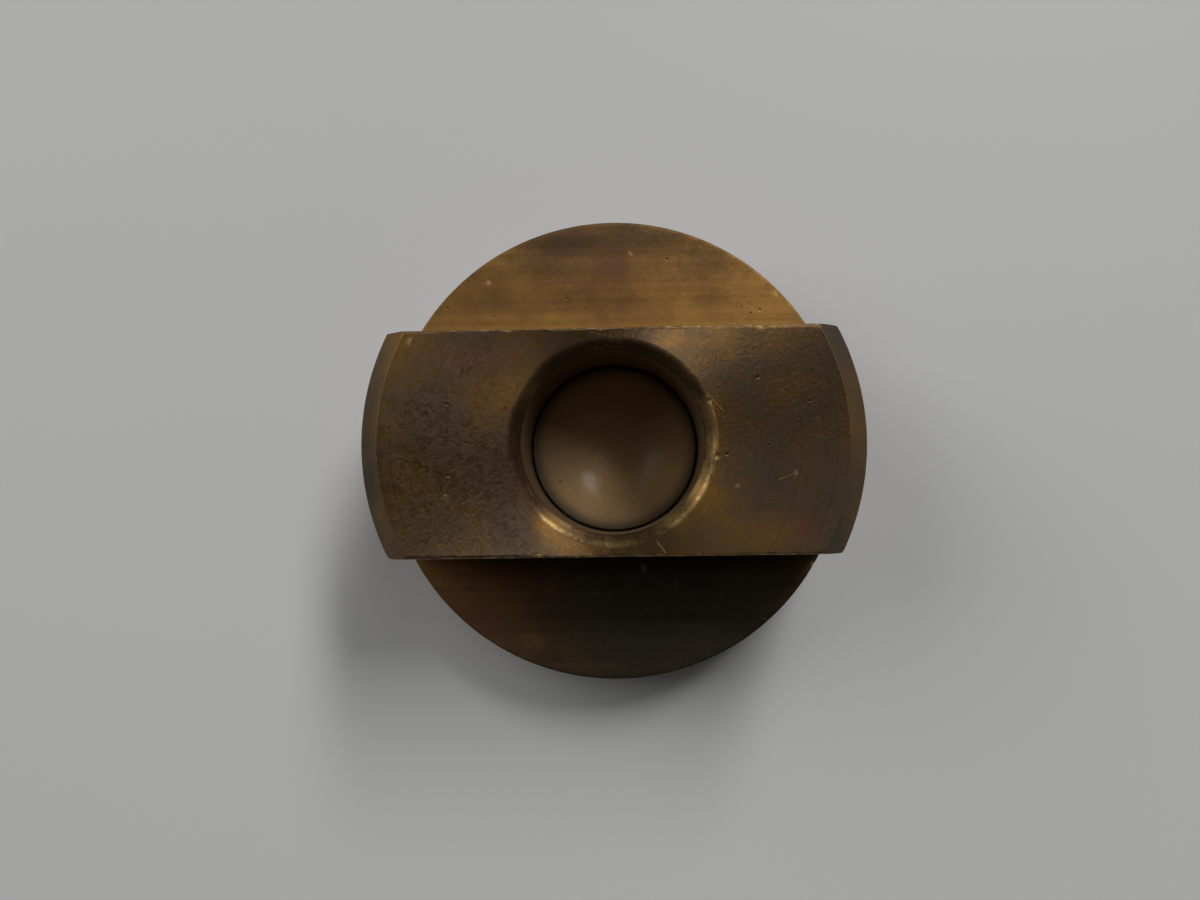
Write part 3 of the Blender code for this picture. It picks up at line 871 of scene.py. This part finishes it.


# Bare metal under a brown oxide: the patina's mask takes the surface from metal to oxide, worn edges, nicks,
# scratches and scores bring the metal back, and soil and red oxide tint the cover. Patches where the patina
# is taken off also paint highlights and reflections, the darkening also paints shade in crevices and over the
# lower step, and the red tint also paints a reddish reflection on the lower step.
def bronzeFinish(name, look):
    look = {**shared, **look}
    material, tree, shader, place = newMaterial(name)
    rubbed, soiled = readField(tree, "rubbed"), readField(tree, "soiled")
    reddened, bare = readField(tree, "reddened"), readField(tree, "bareMetal")
    cover = calc(tree, "SUBTRACT", calc(tree, "ADD", soiled, look["cover"]), rubbed)
    patina = useGroup(tree, groups["patina"], {
        "Vector": place, "Scale": look["patinaScale"], "Cover": cover, "Softness": look["softness"],
        "Mottle": look["mottle"],
    })
    wornEdge = useGroup(tree, groups["edgeWear"], {
        "Vector": place, "Distance": readField(tree, "edgeDistance"), "Width": look["edgeWidth"],
    })["Mask"]
    pit = useGroup(tree, groups["pits"], {
        "Vector": place, "Scale": look["pitScale"], "Share": look["pitShare"],
    })["Mask"]
    scratch = useGroup(tree, groups["scratches"], {"Vector": place, "Amount": look["scratch"]})["Mask"]
    for start, end in look["scores"]:
        ends = [(x * mm, y * mm, cap["top"]) for x, y in (start, end)]
        score = useGroup(tree, groups["score"], {"Vector": place, "Start": ends[0], "End": ends[1]})["Mask"]
        scratch = calc(tree, "MAXIMUM", scratch, score)
    shown = calc(tree, "MAXIMUM", wornEdge, bare)
    shown = calc(tree, "MAXIMUM", shown, calc(tree, "MULTIPLY", scratch, look["scratchShown"]))
    mask = calc(tree, "MULTIPLY", patina["Mask"], calc(tree, "SUBTRACT", 1.0, shown, clamp=True))

    oxide = mixColors(tree, calc(tree, "MULTIPLY", reddened, patina["Tone"], clamp=True),
                      (*look["oxide"], 1), (*look["red"], 1))
    # soil, and painted shade in crevices and over the lower step, darken the oxide
    soilAndShadeShare = calc(tree, "MULTIPLY", soiled, look["soilShown"], clamp=True)
    oxide = mixColors(tree, soilAndShadeShare, oxide, (*look["soil"], 1))
    metal = mixColors(tree, shown, (*look["metal"], 1), (*look["edge"], 1))
    color = mixColors(tree, mask, metal, oxide)
    swing = calc(tree, "MULTIPLY_ADD", readField(tree, "mottled"), look["mottledSwing"], look["swing"])
    tone = calc(tree, "MULTIPLY_ADD", calc(tree, "SUBTRACT", patina["Grain"], 0.5), swing, 1.0)
    toneColor = addNode(tree, "CombineColor", {0: tone, 1: tone, 2: tone}).outputs[0]
    color = mixColors(tree, 1.0, color, toneColor, "MULTIPLY")
    color = mixColors(tree, calc(tree, "MULTIPLY", pit, look["pitShown"]), color, (*look["soil"], 1))

    marks = patina["Grain"]
    if look["turning"]:
        marks = useGroup(tree, groups["turning"], {"Vector": place, "Pitch": look["turning"]})["Height"]
    if look["milling"]:
        marks = useGroup(tree, groups["milling"], {"Vector": place, "Stretch": look["milling"]})["Height"]
    streak = remap(tree, marks, 0.3, 0.7, 1 - look["streak"], 1 + look["streak"], "LINEAR")
    streakColor = addNode(tree, "CombineColor", {0: streak, 1: streak, 2: streak}).outputs[0]
    color = mixColors(tree, 1.0, color, streakColor, "MULTIPLY")

    rough = mixNumbers(tree, mask, look["metalRough"], look["oxideRough"])
    grainSwing = calc(tree, "SUBTRACT", patina["Grain"], 0.5)
    rough = calc(tree, "MULTIPLY_ADD", grainSwing, look["roughSwing"], rough, clamp=True)
    normal = addNode(tree, "Bump", {"Height": marks, "Distance": look["markDepth"], "Strength": 1.0})
    relief = calc(tree, "MULTIPLY_ADD", pit, -look["pitDepth"] / look["mottleDepth"], patina["Tone"])
    relief = calc(tree, "SUBTRACT", relief, calc(tree, "MULTIPLY", scratch, look["scratchDepth"]))
    normal = addNode(tree, "Bump", {"Height": relief, "Distance": look["mottleDepth"], "Strength": 1.0,
                                    "Normal": normal.outputs[0]})

    feed(tree, shader.inputs["Base Color"], color)
    feed(tree, shader.inputs["Metallic"], mixNumbers(tree, mask, 1.0, look["metallic"]))
    feed(tree, shader.inputs["Roughness"], rough)
    feed(tree, shader.inputs["Normal"], normal.outputs[0])
    shader.inputs["Specular IOR Level"].default_value = look["gloss"]
    shader.inputs["Coat Weight"].default_value = look["coat"]
    shader.inputs["Coat Roughness"].default_value = look["coatRough"]
    if look["round"]:
        shader.inputs["Anisotropic"].default_value = look["anisotropic"]
        shader.inputs["Anisotropic Rotation"].default_value = 0.25
        tangent = addNode(tree, "Tangent", {}, direction_type="RADIAL", axis="Z")
        feed(tree, shader.inputs["Tangent"], tangent.outputs[0])
    return material


def springWireFinish():
    material, tree, shader, place = newMaterial("springWire")
    patina = useGroup(tree, groups["patina"], {"Vector": place, "Cover": 0.4, "Scale": 500.0})
    marks = useGroup(tree, groups["turning"], {"Vector": place, "Pitch": 0.00009})["Height"]
    color = mixColors(tree, patina["Mask"], (0.32, 0.3, 0.27, 1), (0.05, 0.035, 0.025, 1))
    feed(tree, shader.inputs["Base Color"], color)
    feed(tree, shader.inputs["Metallic"], remap(tree, patina["Mask"], 0.0, 1.0, 1.0, 0.2, "LINEAR"))
    feed(tree, shader.inputs["Roughness"], remap(tree, patina["Tone"], 0.0, 1.0, 0.3, 0.5))
    bump = addNode(tree, "Bump", {"Height": marks, "Distance": 0.000003, "Strength": 1.0})
    feed(tree, shader.inputs["Normal"], bump.outputs[0])
    return material


def rubberFinish():
    material, tree, shader, place = newMaterial("moldedRubber")
    bloom = useGroup(tree, groups["patina"], {"Vector": place, "Cover": 0.35, "Scale": 300.0})
    specks = useGroup(tree, groups["pits"], {"Vector": place, "Scale": 1800.0, "Share": 0.15})["Mask"]
    color = mixColors(tree, calc(tree, "MULTIPLY", bloom["Mask"], 0.5), (0.016, 0.016, 0.017, 1),
                      (0.06, 0.058, 0.055, 1))
    feed(tree, shader.inputs["Base Color"], mixColors(tree, specks, color, (0.1, 0.09, 0.08, 1)))
    feed(tree, shader.inputs["Roughness"], remap(tree, bloom["Tone"], 0.0, 1.0, 0.6, 0.85))
    bump = addNode(tree, "Bump", {"Height": bloom["Grain"], "Distance": 0.00001, "Strength": 1.0})
    feed(tree, shader.inputs["Normal"], bump.outputs[0])
    return material


def floorFinish():
    material, tree, shader, place = newMaterial("paleFloor")
    cloud = noise(tree, place, 6, 3)
    shade = remap(tree, cloud, 0.3, 0.7, 0.985, 1.015, "LINEAR")
    shadeColor = addNode(tree, "CombineColor", {0: shade, 1: shade, 2: shade}).outputs[0]
    color = mixColors(tree, 1.0, (*studio["floorColor"], 1), shadeColor, "MULTIPLY")
    feed(tree, shader.inputs["Base Color"], color)
    shader.inputs["Roughness"].default_value = 0.6
    return material


print("materials ready")

body = makeCapBody([bronzeFinish(name, looks[name]) for name in
                    ("facedTop", "countersink", "boreWall", "milledSide", "milledStep", "turnedSide")])
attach(body, "cap")
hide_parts("cap_body")
body.data.calc_loop_triangles()
print("body made:", len(body.data.loop_triangles), "triangles")

dishedPad = makePad(bronzeFinish("burnishedPad", looks["burnishedPad"]))
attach(dishedPad, "pad")
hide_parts("thrust_pad")

wireRing = makeWireRing(springWireFinish())
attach(wireRing, "cap")
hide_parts("pad_retaining_ring")

rubberGasket = makeGasket(rubberFinish())
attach(rubberGasket, "cap")
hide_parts("sealing_gasket")
print("pad, ring and gasket made")

studio = {
    "floorSize": 4.0, "floorDrop": 0.02 * mm, "floorColor": (0.62, 0.62, 0.615),
    "mainFrom": (0.448, 0.867, 1.0), "mainSize": (0.25, 0.8), "mainPower": 10.2,
    "fillFrom": (-1.05, 0.655, 1.0), "fillSize": (1.1, 1.1), "fillPower": 7.6,
    "highFrom": (0.26, 0.45, 1.3), "highSize": (0.35, 0.7), "highPower": 1.1,
    "sky": 0.03, "horizon": 0.17, "horizonReach": 0.6,
    "cameraAt": (1.313 * mm, -4.759 * mm, 103.257 * mm), "lookAt": (-0.928 * mm, -0.622 * mm, 18.2 * mm),
    "roll": math.radians(-0.84), "lens": 34.5,
}


def makeFloor():
    bpy.ops.mesh.primitive_plane_add(size=studio["floorSize"], location=(0, 0, -studio["floorDrop"]))
    floor = bpy.context.object
    floor.name = "paleFloor"
    floor.data.materials.append(floorFinish())


# An area light facing the origin, its second size lying as nearly along Y as it can.
def makeLight(name, place, size, power):
    data = bpy.data.lights.new(name, "AREA")
    data.shape = "RECTANGLE"
    data.size, data.size_y = size
    data.energy = power
    light = bpy.data.objects.new(name, data)
    back = Vector(place).normalized()
    side = Vector((0, 1, 0)).cross(back).normalized()
    up = back.cross(side)
    light.matrix_world = Matrix.Translation(Vector(place)) @ Matrix((side, up, back)).transposed().to_4x4()
    bpy.context.scene.collection.objects.link(light)


# White surroundings that are brightest at the horizon, so that upright faces are lit too.
def makeWorld():
    world = bpy.data.worlds.new("studio")
    world.use_nodes = True
    tree = world.node_tree
    way = tree.nodes.new("ShaderNodeTexCoord").outputs["Generated"]
    height = addNode(tree, "SeparateXYZ", {0: way}).outputs["Z"]
    strength = remap(tree, height, 0.0, studio["horizonReach"], studio["horizon"], studio["sky"])
    tree.nodes["Background"].inputs["Color"].default_value = (1, 1, 1, 1)
    feed(tree, tree.nodes["Background"].inputs["Strength"], strength)
    bpy.context.scene.world = world


def makeCamera():
    data = bpy.data.cameras.new("camera")
    data.lens = studio["lens"]
    data.sensor_width = 36
    data.clip_start = 0.001
    camera = bpy.data.objects.new("camera", data)
    place, target = Vector(studio["cameraAt"]), Vector(studio["lookAt"])
    back = (place - target).normalized()
    right = Vector((0, 1, 0)).cross(back).normalized()
    facing = Matrix((right, back.cross(right), back)).transposed().to_4x4()
    camera.matrix_world = Matrix.Translation(place) @ facing @ Matrix.Rotation(studio["roll"], 4, "Z")
    bpy.context.scene.collection.objects.link(camera)
    bpy.context.scene.camera = camera


makeFloor()
for light in ("main", "fill", "high"):
    makeLight(light + "Light", studio[light + "From"], studio[light + "Size"], studio[light + "Power"])
makeWorld()
bpy.context.scene.view_settings.view_transform = "Standard"
makeCamera()
print("studio made")
